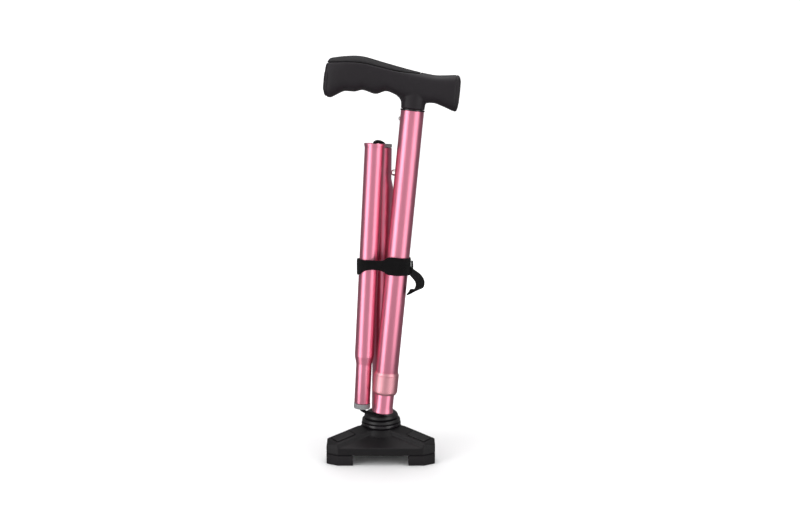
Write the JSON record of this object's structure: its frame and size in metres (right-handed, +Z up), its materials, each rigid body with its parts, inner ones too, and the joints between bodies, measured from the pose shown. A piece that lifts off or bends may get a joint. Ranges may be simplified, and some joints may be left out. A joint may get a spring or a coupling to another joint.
{
  "type": "folding walking cane",
  "caption": "Folding, height-adjustable walking cane with a derby handle, folded and strapped, standing on its own three-foot base.",
  "frame": {"origin": "centre of the folded cane's box, on the surface under the foot pads", "axes": "+Z up along the folded tubes, +X towards the handle's heel, +Y towards the rear foot"},
  "size_m": [0.1306, 0.1002, 0.3966],
  "materials": {
    "anodised_rose": "anodised, satin, rose pink",
    "collar_rose": "anodised, knurled, rose pink",
    "black_plastic": "fine-textured moulded black",
    "gloss_black": "smooth moulded black",
    "rubber": "matte moulded black",
    "grey_plastic": "smooth moulded grey",
    "steel": "plain bright",
    "cord": "braided black over rubber",
    "webbing": "woven black nylon"
  },
  "bodies": {
    "base": {"base_body": "black_plastic", "foot_pad_left": "rubber", "foot_pad_right": "rubber", "foot_pad_rear": "rubber", "arm_insert_left": "rubber", "arm_insert_right": "rubber", "arm_insert_rear": "rubber", "socket_cup": "black_plastic", "retaining_ring": "gloss_black"},
    "gimbal": {"gimbal_ring": "steel", "neck_boot_lower": "rubber"},
    "lower_section": {"neck_boot_upper": "rubber", "neck_stem": "steel", "lower_tube": "anodised_rose", "lower_end_ring": "grey_plastic", "lower_cord": "cord"},
    "top_link": {"top_cord_loop": "cord"},
    "middle_section": {"middle_tube": "anodised_rose", "middle_end_ring": "grey_plastic", "middle_cord": "cord"},
    "bottom_link": {"bottom_cord_loop": "cord"},
    "inner_section": {"inner_tube": "anodised_rose", "inner_glide": "grey_plastic", "cord_washer": "steel", "inner_cord": "cord", "cord_knot": "cord", "snap_spring": "steel", "strap_band": "webbing", "strap_tail": "webbing"},
    "button": {"snap_button": "steel"},
    "handle_section": {"outer_tube": "anodised_rose", "clamp_sleeve": "grey_plastic", "handle_plug": "black_plastic", "handle_rivet": "steel", "handle_body": "black_plastic", "handle_pad": "rubber", "handle_end_cap": "black_plastic", "neck_ring": "black_plastic"},
    "collar": {"locking_collar": "collar_rose"}
  },
  "joints": [
    {"name": "neck_tilt_side", "type": "hinge", "parent": "base", "child": "gimbal", "pos_m": [-0.01132, -0.01175, 0.036], "axis": [0, 1, 0], "range_deg": [-6, 6], "stiffness_Nm_per_rad": 12, "deforming": ["neck_boot_lower"]},
    {"name": "neck_tilt_front", "type": "hinge", "parent": "gimbal", "child": "lower_section", "pos_m": [-0.01132, -0.01175, 0.036], "axis": [1, 0, 0], "range_deg": [-6, 6], "stiffness_Nm_per_rad": 12, "deforming": ["neck_boot_upper"]},
    {"name": "fold_top", "type": "hinge", "parent": "lower_section", "child": "top_link", "pos_m": [-0.01223, -0.02038, 0.3173], "axis": [-0.902, 0.4308, 0.0289], "range_deg": [0, 179], "deforming": ["top_cord_loop", "strap_band"]},
    {"name": "middle_plug_in", "type": "slide", "parent": "top_link", "child": "middle_section", "axis": [0.0523, 0, 0.9986], "range_m": [0, 0.0411]},
    {"name": "handle_plug_in", "type": "slide", "parent": "middle_section", "child": "bottom_link", "axis": [0.0523, 0, 0.9986], "range_m": [0, 0.0531]},
    {"name": "fold_bottom", "type": "hinge", "parent": "bottom_link", "child": "inner_section", "pos_m": [-0.02009, -0.03155, 0.04729], "axis": [0.2349, 0.9719, -0.0177], "range_deg": [0, 177.45], "deforming": ["bottom_cord_loop"]},
    {"name": "height_slide", "type": "slide", "parent": "inner_section", "child": "handle_section", "axis": [0.0979, 0, 0.9952], "range_m": [0, 0.1524]},
    {"name": "collar_turn", "type": "hinge", "parent": "handle_section", "child": "collar", "pos_m": [-0.00939, -0.03407, 0.05044], "axis": [0.0979, 0, 0.9952], "range_deg": [0, 270]},
    {"name": "button_press", "type": "slide", "parent": "inner_section", "child": "button", "axis": [0.9352, -0.342, -0.092], "range_m": [0, 0.0046], "stiffness_N_per_m": 900, "springref_m": -0.002, "deforming": ["snap_spring"]}
  ],
  "couplings": [
    {"joint": "fold_bottom", "follows": "fold_top", "ratio": 0.99138}
  ]
}
